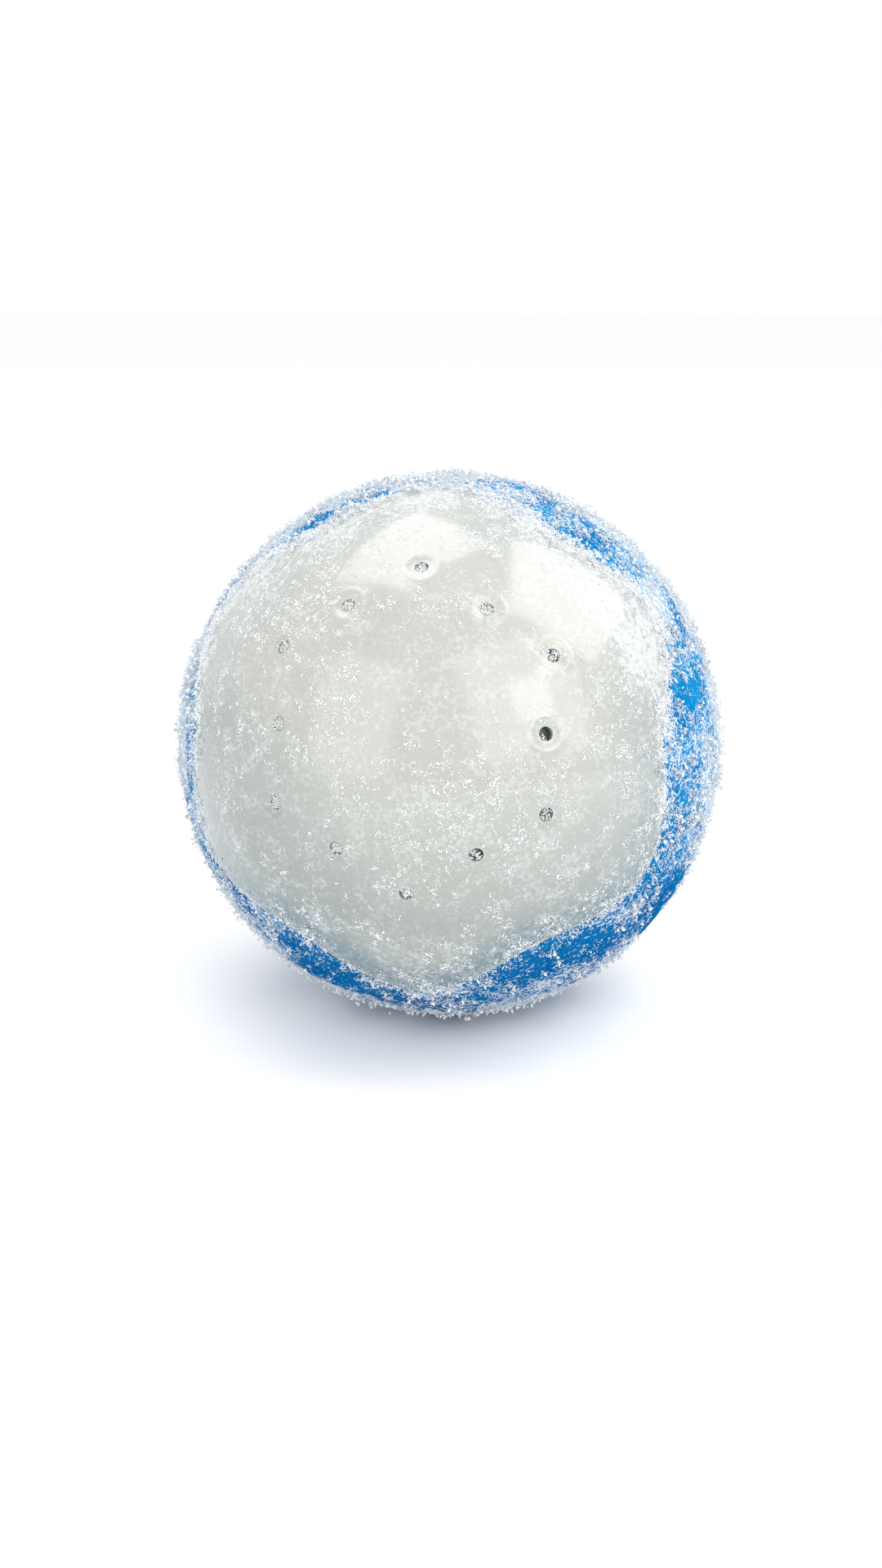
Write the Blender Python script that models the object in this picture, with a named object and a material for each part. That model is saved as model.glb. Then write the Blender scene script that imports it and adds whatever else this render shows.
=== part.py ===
"""Frosted freezing ball: a hollow two-colour rubber ball under a lacy crust of frost.

The ball stands on a small flat spot at the origin, +Z up. Its front panel looks
towards -Y and a little up. Metres; angles are in degrees where a name says so.
"""

import math
import random

import bmesh
import bpy
from mathutils import Matrix, Vector

# Driving dimensions of the ball
BALL_RADIUS = 0.0420
WALL = 0.0050
REST_SPOT_RADIUS = 0.0080
FRONT_TILT_DEG = 18.0

# Border between a white panel and the blue belt, seen from the ball's centre
PANEL_HALF_ANGLE_DEG = 58.4
WAVE_LOBES = 6
WAVE_DEG = 3.9
SEAM_GAP = 0.00035
SEAM_CHAMFER = 0.0005

# Small holes of a panel, on a hexagon whose corners match the border's corners
HOLE_RADIUS = 0.0011
DISH_RADIUS = 0.0022
DISH_DEPTH = 0.0004
HOLE_SIDES = 8
HOLES_PER_PANEL = 12
CORNER_HOLE_DEG = 32.1
SIDE_HOLE_DEG = 27.4

# Faceting of the turned pieces
TURN_STEPS = 48
OUTER_STEP_DEG = 8.0
INNER_STEP_DEG = 16.0
SHARP_EDGE_DEG = 25.0

# Frost crust
CRUST_GAP = 0.0004
CRUST_SHOULDER = 0.0004
CRUST_ROUGHNESS = 0.0006
CRUST_TIP_RADIUS = 0.0438
CRUST_TIP_SPREAD = 0.0008
CRUST_CRYSTAL_SHARE = 0.36
CRUST_CUTS = 11
CRUST_SIDESTEP = 0.0009
CRUST_BARE_BOTTOM_DEG = 22.0
CRUST_HOLE_CLEAR = 0.0034
CRUST_FLOOR_GAP = 0.0003
CRUST_SITES = 222
PANEL_SITE_SHARE = 0.7
BELT_SITE_GROWTH = 0.8
PANEL_SITE_GROWTH = 0.5
CRUST_SEED = 11

CENTRE_HEIGHT = math.sqrt(BALL_RADIUS ** 2 - REST_SPOT_RADIUS ** 2)
CENTRE = Vector((0.0, 0.0, CENTRE_HEIGHT))
SEAM_GAP_DEG = math.degrees(SEAM_GAP / (BALL_RADIUS - WALL))
CHAMFER_DEG = math.degrees(SEAM_CHAMFER / BALL_RADIUS)


def clear_scene():
    for old in list(bpy.data.objects):
        bpy.data.objects.remove(old, do_unlink=True)


def make_material(name, colour, roughness, transmission=0.0):
    material = bpy.data.materials.new(name)
    material.use_nodes = True
    shader = material.node_tree.nodes["Principled BSDF"]
    shader.inputs["Base Color"].default_value = (*colour, 1.0)
    shader.inputs["Roughness"].default_value = roughness
    shader.inputs["Metallic"].default_value = 0.0
    shader.inputs["Transmission Weight"].default_value = transmission
    return material


def white_rubber():
    return make_material("white_rubber", (0.74, 0.76, 0.70), 0.35, 0.15)


def blue_rubber():
    return make_material("blue_rubber", (0.02, 0.22, 0.66), 0.35)


def frost():
    return make_material("frost", (0.93, 0.97, 1.0), 0.45, 0.6)


def panel_axes():
    """Rows of the turn from a panel's own axes (+Z out, +X to a corner) to the ball's."""
    tilt = math.radians(FRONT_TILT_DEG)
    out = Vector((0.0, -math.cos(tilt), math.sin(tilt)))
    to_corner = Vector((0.0, math.sin(tilt), math.cos(tilt)))
    side = out.cross(to_corner)
    return Matrix((to_corner, side, out)).transposed().to_4x4()


def front_place():
    return Matrix.Translation(CENTRE) @ panel_axes()


def rear_place():
    """The rear panel faces the other way, its corners between the front panel's."""
    half_lobe = math.pi / WAVE_LOBES
    return front_place() @ Matrix.Rotation(math.pi, 4, "X") @ Matrix.Rotation(half_lobe, 4, "Z")


def polar(angle_deg, radius):
    """Point of a turned profile: an angle from the panel's axis and a radius from the centre."""
    angle = math.radians(angle_deg)
    return Vector((radius * math.sin(angle), 0.0, radius * math.cos(angle)))


def arc(start_deg, end_deg, radius, step_deg):
    count = max(1, round(abs(end_deg - start_deg) / step_deg))
    return [polar(start_deg + (end_deg - start_deg) * i / count, radius) for i in range(count + 1)]


def turn_profile(points, closed):
    """Turns a profile about Z into a closed body."""
    bm = bmesh.new()
    verts = [bm.verts.new(point) for point in points]
    edges = [bm.edges.new(pair) for pair in zip(verts, verts[1:])]
    if closed:
        edges.append(bm.edges.new((verts[-1], verts[0])))
    bmesh.ops.spin(bm, geom=verts + edges, cent=(0, 0, 0), axis=(0, 0, 1), dvec=(0, 0, 0),
                   angle=2 * math.pi, steps=TURN_STEPS, use_merge=True, use_duplicate=False)
    bmesh.ops.remove_doubles(bm, verts=bm.verts, dist=1e-6)
    return bm


def wave_verts(bm, shift_share):
    """Swings each point's angle from the axis by the six-lobed wave of the border."""
    for vert in bm.verts:
        radius = vert.co.length
        angle = math.acos(max(-1.0, min(1.0, vert.co.z / radius)))
        around = math.atan2(vert.co.y, vert.co.x)
        wave = math.radians(WAVE_DEG) * math.cos(WAVE_LOBES * around)
        angle += wave * shift_share(angle)
        vert.co = Vector((math.sin(angle) * math.cos(around), math.sin(angle) * math.sin(around),
                          math.cos(angle))) * radius


def finish_piece(bm, name, material, place=None):
    bmesh.ops.recalc_face_normals(bm, faces=bm.faces)
    mesh = bpy.data.meshes.new(name)
    bm.to_mesh(mesh)
    bm.free()
    mesh.shade_smooth()
    mesh.set_sharp_from_angle(angle=math.radians(SHARP_EDGE_DEG))
    mesh.materials.append(material)
    piece = bpy.data.objects.new(name, mesh)
    bpy.context.scene.collection.objects.link(piece)
    if place is not None:
        piece.matrix_world = place
    return piece


def cut_piece(piece, cutter):
    cutter.hide_render = True
    cutter.display_type = "WIRE"
    cut = piece.modifiers.new("cut_" + cutter.name, "BOOLEAN")
    cut.operation = "DIFFERENCE"
    cut.solver = "EXACT"
    cut.object = cutter


def hole_directions():
    """Directions of a panel's holes in the panel's own axes, first the one at a corner."""
    directions = []
    for i in range(HOLES_PER_PANEL):
        from_axis = CORNER_HOLE_DEG if i % 2 == 0 else SIDE_HOLE_DEG
        around = 2 * math.pi * i / HOLES_PER_PANEL
        directions.append(Matrix.Rotation(around, 3, "Z") @ polar(from_axis, 1.0))
    return directions


def hole_cutters(name, place):
    """Twelve drills: a straight hole through the wall that opens into a shallow dish."""
    margin = 0.001
    inner = BALL_RADIUS - WALL - margin
    outer = BALL_RADIUS + margin
    dish_floor = BALL_RADIUS - DISH_DEPTH
    flare = DISH_RADIUS + (DISH_RADIUS - HOLE_RADIUS) * margin / DISH_DEPTH
    heights_and_radii = [(inner, HOLE_RADIUS), (dish_floor, HOLE_RADIUS), (outer, flare)]
    bm = bmesh.new()
    for direction in hole_directions():
        aim = direction.to_track_quat("Z", "Y").to_matrix().to_4x4()
        rings = []
        for height, radius in heights_and_radii:
            ring = bmesh.ops.create_circle(bm, segments=HOLE_SIDES, radius=radius,
                                           matrix=aim @ Matrix.Translation((0, 0, height)))
            rings.append(ring["verts"])
        for low, high in zip(rings, rings[1:]):
            for i in range(HOLE_SIDES):
                j = (i + 1) % HOLE_SIDES
                bm.faces.new((low[i], low[j], high[j], high[i]))
        bm.faces.new(reversed(rings[0]))
        bm.faces.new(rings[-1])
    return finish_piece(bm, name, white_rubber(), place)


def make_panel(name, place):
    """White plug of the shell: outer face, chamfered border, radial edge and inner face."""
    border = PANEL_HALF_ANGLE_DEG
    inner = BALL_RADIUS - WALL
    points = arc(0.0, border - CHAMFER_DEG, BALL_RADIUS, OUTER_STEP_DEG)
    points.append(polar(border, BALL_RADIUS - SEAM_CHAMFER))
    points += arc(border, 0.0, inner, INNER_STEP_DEG)
    bm = turn_profile(points, closed=False)
    wave_verts(bm, lambda angle: angle / math.radians(border))
    panel = finish_piece(bm, name, white_rubber(), place)
    cut_piece(panel, hole_cutters(name + "_drills", place))
    return panel


def make_belt(name):
    """Blue band between the two panels, with the small flat spot that it stands on."""
    front = PANEL_HALF_ANGLE_DEG + SEAM_GAP_DEG
    rear = 180.0 - front
    inner = BALL_RADIUS - WALL
    points = [polar(front, BALL_RADIUS - SEAM_CHAMFER)]
    points += arc(front + CHAMFER_DEG, rear - CHAMFER_DEG, BALL_RADIUS, OUTER_STEP_DEG)
    points.append(polar(rear, BALL_RADIUS - SEAM_CHAMFER))
    points += arc(rear, front, inner, INNER_STEP_DEG)
    bm = turn_profile(points, closed=True)
    wave_verts(bm, lambda angle: 1.0)
    belt = finish_piece(bm, name, blue_rubber(), front_place())
    cut_piece(belt, floor_cutter(name + "_floor"))
    return belt


def floor_cutter(name):
    """Block under the ball that leaves the flat spot at height zero."""
    side = 2 * BALL_RADIUS
    bm = bmesh.new()
    bmesh.ops.create_cube(bm, size=side, matrix=Matrix.Translation((0, 0, -side / 2)))
    return finish_piece(bm, name, blue_rubber())


def holes_in_ball():
    """Directions of all the holes from the ball's centre, in the ball's axes."""
    directions = []
    for place in (front_place(), rear_place()):
        turn = place.to_3x3()
        directions += [turn @ direction for direction in hole_directions()]
    return directions


def degrees_inside_panel(direction):
    """How far a point of the ball lies inside a white panel, below zero on the belt."""
    local = panel_axes().to_3x3().transposed() @ direction
    angle = math.degrees(math.acos(max(-1.0, min(1.0, local.z))))
    wave = WAVE_DEG * math.cos(WAVE_LOBES * math.atan2(local.y, local.x))
    in_front = PANEL_HALF_ANGLE_DEG + wave - angle
    in_rear = angle - (180.0 - PANEL_HALF_ANGLE_DEG + wave)
    return max(in_front, in_rear)


def frost_may_grow(direction, holes):
    """Frost keeps off the holes and off the underside around the flat spot."""
    from_bottom = math.degrees(direction.angle(Vector((0, 0, -1))))
    nearest = min(direction.angle(hole) for hole in holes)
    return from_bottom > CRUST_BARE_BOTTOM_DEG and nearest * BALL_RADIUS > CRUST_HOLE_CLEAR


def spread_directions(count):
    """Directions spread evenly over the whole ball, along a spiral from bottom to top."""
    golden_turn = math.pi * (3.0 - math.sqrt(5.0))
    directions = []
    for i in range(count):
        height = (2 * i + 1) / count - 1.0
        across = math.sqrt(1.0 - height * height)
        turn = golden_turn * i
        directions.append(Vector((across * math.cos(turn), across * math.sin(turn), height)))
    return directions


def neighbours(face):
    return [other for edge in face.edges for other in edge.link_faces if other is not face]


def frost_sites(middles, allowed, rng):
    """Faces where frost takes hold, with some of their neighbours: more on the belt."""
    kept = set()
    for direction in spread_directions(CRUST_SITES):
        on_belt = degrees_inside_panel(direction) < 0.0
        if not on_belt and rng.random() > PANEL_SITE_SHARE:
            continue
        nearest = max(allowed, key=lambda face: (middles[face].dot(direction), face.index))
        kept.add(nearest)
        growth = BELT_SITE_GROWTH if on_belt else PANEL_SITE_GROWTH
        for other in neighbours(nearest):
            if other in allowed and rng.random() < growth:
                kept.add(other)
    return kept


def crust_sheet(rng):
    """Triangles over the whole ball, a little uneven, at the crust's inner radius."""
    radius = BALL_RADIUS + CRUST_GAP
    bm = bmesh.new()
    bmesh.ops.create_icosphere(bm, subdivisions=1, radius=radius)
    bmesh.ops.subdivide_edges(bm, edges=bm.edges[:], cuts=CRUST_CUTS, use_grid_fill=True)
    for vert in bm.verts:
        sidestep = Vector([rng.uniform(-1, 1) for _ in range(3)]) * CRUST_SIDESTEP
        vert.co = (vert.co.normalized() * radius + sidestep).normalized() * radius
    bmesh.ops.triangulate(bm, faces=bm.faces)
    return bm


def fans_at(vert, kept):
    """Groups of kept faces at a vertex that hang together by their edges."""
    left = [face for face in vert.link_faces if face in kept]
    fans = []
    while left:
        fan = [left.pop()]
        for face in fan:
            for edge in face.edges:
                if vert not in edge.verts:
                    continue
                for other in edge.link_faces:
                    if other in left:
                        left.remove(other)
                        fan.append(other)
        fans.append(fan)
    return fans


def fill_pinches(bm, kept):
    """Adds the faces between two fans that touch only at a vertex."""
    changed = True
    while changed:
        changed = False
        for vert in bm.verts:
            if len(fans_at(vert, kept)) > 1:
                kept.update(vert.link_faces)
                changed = True


def patches(kept):
    """Groups of kept faces that hang together by their edges, the largest first."""
    left = set(kept)
    found = []
    for start in sorted(kept, key=lambda face: face.index):
        if start not in left:
            continue
        left.discard(start)
        patch = [start]
        for face in patch:
            for other in neighbours(face):
                if other in left:
                    left.discard(other)
                    patch.append(other)
        found.append(patch)
    return sorted(found, key=len, reverse=True)


def bridge_to(main, targets, allowed):
    """Shortest run of faces from the main patch to the nearest of the target faces."""
    came_from = {face: None for face in sorted(main, key=lambda face: face.index)}
    queue = list(came_from)
    for face in queue:
        if face in targets:
            run = []
            while face is not None:
                run.append(face)
                face = came_from[face]
            return run
        for other in neighbours(face):
            if other not in came_from and other in allowed:
                came_from[other] = face
                queue.append(other)
    return []


def join_patches(kept, allowed):
    """Links every patch to the largest one by the shortest run of faces."""
    groups = [set(group) for group in patches(kept)]
    main = groups[0]
    waiting = groups[1:]
    while waiting:
        run = bridge_to(main, set().union(*waiting), allowed)
        if not run:
            break
        reached = next(group for group in waiting if run[0] in group)
        waiting.remove(reached)
        main.update(run)
        main.update(reached)
    return main


def raise_crystals(bm, outer_verts, outer_faces, rng):
    """Points many of the outer faces, and takes the crust to its full radius along each axis."""
    shoulder = BALL_RADIUS + CRUST_GAP + CRUST_SHOULDER
    for vert in outer_verts:
        vert.co = vert.co.normalized() * (shoulder + CRUST_ROUGHNESS * rng.random())
    pointed = [face for face in outer_faces if rng.random() < CRUST_CRYSTAL_SHARE]
    tips = bmesh.ops.poke(bm, faces=pointed)["verts"]
    for tip in tips:
        tip.co = tip.co.normalized() * (CRUST_TIP_RADIUS - CRUST_TIP_SPREAD * rng.random())
    right, back, up = Vector((1, 0, 0)), Vector((0, 1, 0)), Vector((0, 0, 1))
    for way in (right, -right, back, -back, up):
        tip = max(tips + outer_verts, key=lambda vert: vert.co.normalized().dot(way))
        tip.co *= CRUST_TIP_RADIUS / tip.co.dot(way)


def make_crust(name):
    """One lacy crust of frost grown together, open over every hole and under the ball."""
    rng = random.Random(CRUST_SEED)
    bm = crust_sheet(rng)
    bm.faces.index_update()
    holes = holes_in_ball()
    middles = {face: face.calc_center_median().normalized() for face in bm.faces}
    allowed = {face for face, middle in middles.items() if frost_may_grow(middle, holes)}
    kept = join_patches(frost_sites(middles, allowed, rng), allowed)
    fill_pinches(bm, kept)
    bmesh.ops.delete(bm, geom=[face for face in bm.faces if face not in kept], context="FACES")
    grown = bmesh.ops.extrude_face_region(bm, geom=bm.faces[:])
    outer_verts = [item for item in grown["geom"] if isinstance(item, bmesh.types.BMVert)]
    outer_faces = [item for item in grown["geom"] if isinstance(item, bmesh.types.BMFace)]
    raise_crystals(bm, outer_verts, outer_faces, rng)
    lowest = CRUST_FLOOR_GAP - CENTRE_HEIGHT
    for vert in bm.verts:
        vert.co.z = max(vert.co.z, lowest)
    crust = finish_piece(bm, name, frost(), Matrix.Translation(CENTRE))
    crust.data.shade_flat()
    return crust


def main():
    clear_scene()
    make_panel("front_panel", front_place())
    make_panel("rear_panel", rear_place())
    make_belt("belt")
    make_crust("frost_crust")


main()
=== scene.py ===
import itertools
import math

import bmesh
import bpy
import numpy as np
from mathutils import Matrix, Vector


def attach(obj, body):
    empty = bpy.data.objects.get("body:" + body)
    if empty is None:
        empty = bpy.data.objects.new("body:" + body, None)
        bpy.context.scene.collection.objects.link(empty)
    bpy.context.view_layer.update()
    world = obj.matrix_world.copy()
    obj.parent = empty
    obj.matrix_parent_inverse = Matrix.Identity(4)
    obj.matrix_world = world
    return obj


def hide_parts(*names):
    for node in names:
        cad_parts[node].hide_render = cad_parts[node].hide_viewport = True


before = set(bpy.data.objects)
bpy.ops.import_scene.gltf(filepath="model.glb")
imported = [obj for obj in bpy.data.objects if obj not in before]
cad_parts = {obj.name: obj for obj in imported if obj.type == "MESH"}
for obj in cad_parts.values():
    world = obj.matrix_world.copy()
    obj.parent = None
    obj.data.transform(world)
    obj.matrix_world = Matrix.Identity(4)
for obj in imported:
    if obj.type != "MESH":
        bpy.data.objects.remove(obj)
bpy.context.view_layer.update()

mm = 0.001
ball = {
    "radius": 42.0 * mm,
    "wall": 5.0 * mm,
    "restSpot": 8.0 * mm,
    "frontTilt": 18.0,  # degrees that the front panel looks up
    "border": 58.4,  # degrees from a panel's middle to the blue belt
    "lobes": 6,
    "wave": 3.9,  # degrees that the border swings in and out
    "softenFrom": 50.0,  # degrees: sharper edges than this are rounded
}
centreHeight = math.sqrt(ball["radius"] ** 2 - ball["restSpot"] ** 2)
centre = Vector((0.0, 0.0, centreHeight))


# the camera

view = {
    "turn": 8.55,  # degrees to the right of straight ahead
    "rise": 15.0,
    "distance": 294.0 * mm,
    "lens": 42.87,
    "shift": (-0.0054, -0.0257),
}


def addCamera(v):
    turn, rise = math.radians(v["turn"]), math.radians(v["rise"])
    away = Vector((math.sin(turn) * math.cos(rise), -math.cos(turn) * math.cos(rise), math.sin(rise)))
    bpy.ops.object.camera_add(
        location=centre + away * v["distance"], rotation=(math.pi / 2 - rise, 0, turn))
    camera = bpy.context.object
    camera.data.sensor_width = 36.0
    camera.data.lens = v["lens"]
    camera.data.shift_x, camera.data.shift_y = v["shift"]
    camera.data.clip_start = 0.01
    bpy.context.scene.camera = camera
    return camera


camera = addCamera(view)
print("camera set")


# the ball's own directions: x to a corner of the panel's border, z out of the panel

def panelAxes():
    tilt = math.radians(ball["frontTilt"])
    out = Vector((0.0, -math.cos(tilt), math.sin(tilt)))
    toCorner = Vector((0.0, math.sin(tilt), math.cos(tilt)))
    return Matrix((toCorner, out.cross(toCorner), out)).transposed().to_4x4()


frontPlace = Matrix.Translation(centre) @ panelAxes()
halfLobe = math.pi / ball["lobes"]
rearPlace = frontPlace @ Matrix.Rotation(math.pi, 4, "X") @ Matrix.Rotation(halfLobe, 4, "Z")
frontOut = Vector(frontPlace.col[2][:3])


# shader maths and nodes

class Wire:  # a node's output, so that 1 - mask or noise * 0.3 adds its Math node
    def __init__(self, finish, socket):
        self.finish = finish
        self.socket = socket

    def calc(self, operation, *values):
        return self.finish.add("Math", {"operation": operation}, dict(enumerate((self, *values))))

    def __add__(self, other):
        return self.calc("ADD", other)

    def __sub__(self, other):
        return self.calc("SUBTRACT", other)

    def __rsub__(self, other):
        return self.finish.add("Math", {"operation": "SUBTRACT"}, {0: other, 1: self})

    def __mul__(self, other):
        return self.calc("MULTIPLY", other)

    __radd__ = __add__
    __rmul__ = __mul__


class Finish:  # a material and its nodes
    def __init__(self, name):
        self.material = bpy.data.materials.new(name)
        self.material.use_nodes = True
        self.tree = self.material.node_tree
        self.tree.nodes.clear()
        place = self.add("TexCoord", {}, {}, "Object")
        self.fromCentre = self.add("VectorMath", {"operation": "SUBTRACT"}, {0: place, 1: centre})
        self.radius = self.add("VectorMath", {"operation": "LENGTH"}, {0: self.fromCentre}, "Value")
        self.outward = self.add("VectorMath", {"operation": "NORMALIZE"}, {0: self.fromCentre})

    def add(self, kind, settings, inputs, output=0):
        node = self.tree.nodes.new("ShaderNode" + kind)
        for name, value in settings.items():
            setattr(node, name, value)
        for key, value in inputs.items():
            if isinstance(value, Wire):
                self.tree.links.new(value.socket, node.inputs[key])
            else:
                node.inputs[key].default_value = value
        return Wire(self, node.outputs[output])

    def noise(self, size, detail, where=None, **more):
        inputs = {"Vector": where or self.fromCentre, "Scale": 1.0 / size, "Detail": detail, **more}
        return self.add("TexNoise", {}, inputs, "Fac")

    def ramp(self, value, low, high):  # 0 below low, 1 above high, soft between
        settings = {"interpolation_type": "SMOOTHSTEP"}
        return self.add("MapRange", settings, {"Value": value, "From Min": low, "From Max": high})

    def blend(self, share, first, second):
        settings = {"data_type": "RGBA"}
        return self.add("Mix", settings, {"Factor": share, 6: first, 7: second}, 2)

    def written(self, name):  # a share that giveShares writes on the ball's pieces
        return self.add("Attribute", {"attribute_name": name}, {}, "Fac")

    def facing(self, way):  # 1 where the ball faces that way, -1 on the other side
        return self.add("VectorMath", {"operation": "DOT_PRODUCT"}, {0: self.outward, 1: way}, "Value")

    def degreesFrom(self, way):
        return self.facing(way).calc("ARCCOSINE") * (180.0 / math.pi)

    def down(self):
        return self.add("SeparateXYZ", {}, {0: self.outward}, "Z") * -1.0

    def close(self, **inputs):
        named = {key.replace("_", " "): value for key, value in inputs.items()}
        shader = self.add("BsdfPrincipled", {}, named)
        last = self.tree.nodes.new("ShaderNodeOutputMaterial")
        self.tree.links.new(shader.socket, last.inputs["Surface"])
        return self.material


whiteLook = {
    "milk": (0.427, 0.437, 0.402, 1),
    "cream": (0.47, 0.48, 0.446, 1),
    "teal": (0.23, 0.277, 0.296, 1),  # toward the border, with more of it toward the bottom as painted shade
    "low": (0.255, 0.285, 0.265, 1),  # painted shade, darker toward the ground
    "rim": (0.067, 0.144, 0.182, 1),  # where the blue belt shows through, much stronger toward the bottom as painted shade
    "side": (0.172, 0.215, 0.217, 1),  # painted shade: the darker side, low on the left
    "shadedSideWay": (-0.75, -0.55, -0.37),
    "dust": (0.71, 0.74, 0.745, 1),
    # painted shade for the hole walls and the wall's inner side
    "inside": (0.22, 0.27, 0.28, 1),
    "dustShare": 0.33,
    "smooth": 0.20,
    "rough": 0.50,  # under frost dust
}


def powder(f, size, patchSize, low, high):  # fine frost dust that gathers in lacy patches
    lace = f.noise(size, 5.0, Roughness=0.8)
    patch = f.noise(patchSize, 3.0, Roughness=0.6)
    return f.ramp(lace * 0.68 + patch * 0.32, low, high)


def makeWhiteRubber(look):
    f = Finish("whiteRubber")
    fromMiddle = 90.0 - (f.degreesFrom(frontOut) - 90.0).calc("ABSOLUTE")  # of the nearer panel
    border = f.ramp(fromMiddle, 32.0, 56.0)
    cloud = f.ramp(f.noise(11 * mm, 2.0), 0.35, 0.65)
    down = f.down()
    # teal tint near the border, partly the rubber's tint and partly painted shade that grows toward the
    # bottom
    base = f.blend(border * (f.ramp(down, -0.6, 0.1) * 0.55 + 0.3), look["milk"], look["teal"])
    base = f.blend(cloud * 0.3, base, look["cream"])
    # painted shade: the base darkens toward the bottom of the ball
    paintedLowShade = f.ramp(down, -0.25, 0.45) * (0.8 - f.ramp(down, 0.36, 0.55) * 0.3)
    base = f.blend(paintedLowShade, base, look["low"])
    # painted shade on the side that faces down and to the left
    base = f.blend(f.ramp(f.facing(look["shadedSideWay"]), 0.60, 0.96) * 0.56, base, look["side"])
    nearRim = f.ramp(f.written("rim"), 0.0, 1.0)
    # blue showing through near the border, strengthened toward the bottom as painted shade
    base = f.blend(nearRim * (f.ramp(down, -0.2, 0.5) * 0.78 + 0.1), base, look["rim"])
    below = f.ramp(down, 0.25, 0.6)
    stretched = f.add("VectorMath", {"operation": "MULTIPLY"}, {0: f.fromCentre, 1: (1.0, 1.0, 0.10)})
    streaks = f.ramp(f.noise(0.7 * mm, 3.0, stretched), 0.5, 0.75) * below
    dust = powder(f, 0.7 * mm, 4.0 * mm, 0.49, 0.60) + streaks * 0.6
    lace = f.noise(0.8 * mm, 5.0, Roughness=0.75)
    share = f.written("frost")
    rime = f.ramp(lace + (share - 0.5) * 0.28, 0.44, 0.58) * f.ramp(share, 0.05, 0.3)
    colour = f.blend(dust * look["dustShare"], base, look["dust"])
    colour = f.blend(rime * 0.6, colour, look["dust"])
    # painted shade: deeper than about 0.7 mm below the surface the rubber turns dark
    deep = f.ramp(f.radius, ball["radius"] - 1.4 * mm, ball["radius"] - 0.7 * mm)
    colour = f.blend(deep, look["inside"], colour)
    height = dust * 0.4 + rime * 0.6 + f.noise(3.5 * mm, 1.0) * 0.6
    bump = f.add("Bump", {}, {"Strength": 0.2, "Distance": 0.08 * mm, "Height": height}, "Normal")
    roughness = look["smooth"] + dust * (look["rough"] - look["smooth"])
    return f.close(
        Base_Color=colour, Roughness=roughness, Normal=bump,
        Subsurface_Weight=0.5, Subsurface_Radius=(1.0, 1.0, 0.9), Subsurface_Scale=1.5 * mm,
        Specular_IOR_Level=0.35, Coat_Weight=1.0, Coat_IOR=1.72, Coat_Roughness=0.125,
    )


blueLook = {
    "deep": (0.0, 0.15, 0.375, 1),
    "bright": (0.004, 0.212, 0.48, 1),
    "shadow": (0.0, 0.06, 0.22, 1),
    "haze": (0.26, 0.48, 0.655, 1),
    "dust": (0.69, 0.76, 0.82, 1),
    "smooth": 0.48,
    "rough": 0.65,
}


def makeBlueRubber(look):
    f = Finish("blueRubber")
    base = f.blend(f.ramp(f.noise(8 * mm, 2.0), 0.35, 0.65), look["deep"], look["bright"])
    low = f.ramp(f.down(), -0.1, 0.6)
    base = f.blend(low * 0.6, base, look["shadow"])
    share = f.written("frost")
    lace = f.noise(0.6 * mm, 5.0, Roughness=0.75)
    rime = f.ramp(lace + (share - 0.5) * 0.22, 0.47, 0.57)
    colour = f.blend(f.ramp(share, 0.35, 1.0) * 0.55, base, look["haze"])
    colour = f.blend(rime * 0.85, colour, look["dust"])
    bump = f.add("Bump", {}, {"Strength": 0.4, "Distance": 0.10 * mm, "Height": rime}, "Normal")
    roughness = look["smooth"] + rime * (look["rough"] - look["smooth"])
    return f.close(Base_Color=colour, Roughness=roughness, Normal=bump, Specular_IOR_Level=0.0)


panelFrostLook = {
    "white": (0.90, 0.91, 0.915, 1),
    "shade": (0.82, 0.845, 0.85, 1),
    "through": 0.08,
    "glow": (0.9, 0.95, 1.0, 1),  # painted glow, standing in for light that the snow scatters inside
    "glowStrength": 0.16,
}
beltFrostLook = {
    "white": (0.84, 0.86, 0.873, 1),
    "shade": (0.72, 0.77, 0.807, 1),
    "through": 0.12,
    "glow": (0.85, 0.91, 0.98, 1),
    "glowStrength": 0.07,
}


def makeFrost(name, look):
    f = Finish(name)
    grain = f.noise(0.8 * mm, 2.0)
    colour = f.blend(f.ramp(grain, 0.38, 0.62), look["shade"], look["white"])
    # the emission is a painted glow on the frost
    return f.close(
        Base_Color=colour, Roughness=0.35 + grain * 0.2, Transmission_Weight=look["through"], IOR=1.31,
        Emission_Color=look["glow"], Emission_Strength=look["glowStrength"],
    )


whiteRubber = makeWhiteRubber(whiteLook)
blueRubber = makeBlueRubber(blueLook)
panelFrost = makeFrost("panelFrost", panelFrostLook)
beltFrost = makeFrost("beltFrost", beltFrostLook)
print("materials made")


# tools for modelling

def deselectAll():
    if bpy.context.object and bpy.context.object.mode != "OBJECT":
        bpy.ops.object.mode_set(mode="OBJECT")
    bpy.ops.object.select_all(action="DESELECT")


def pick(piece):
    deselectAll()
    piece.select_set(True)
    bpy.context.view_layer.objects.active = piece


def editFaces(piece, wanted):  # edit mode with only the wanted faces selected
    pick(piece)
    bpy.ops.object.mode_set(mode="EDIT")
    bpy.ops.mesh.select_mode(type="FACE")
    bpy.ops.mesh.select_all(action="DESELECT")
    bm = bmesh.from_edit_mesh(piece.data)
    for face in bm.faces:
        face.select_set(wanted(face.calc_center_median()))
    bmesh.update_edit_mesh(piece.data)


def endEdit():
    bpy.ops.object.mode_set(mode="OBJECT")


def deleteFaces(piece, wanted):
    editFaces(piece, wanted)
    bpy.ops.mesh.delete(type="FACE")
    endEdit()


def joinPieces(pieces):
    deselectAll()
    for piece in pieces:
        piece.select_set(True)
    bpy.context.view_layer.objects.active = pieces[0]
    bpy.ops.object.join()
    return bpy.context.object


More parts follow.
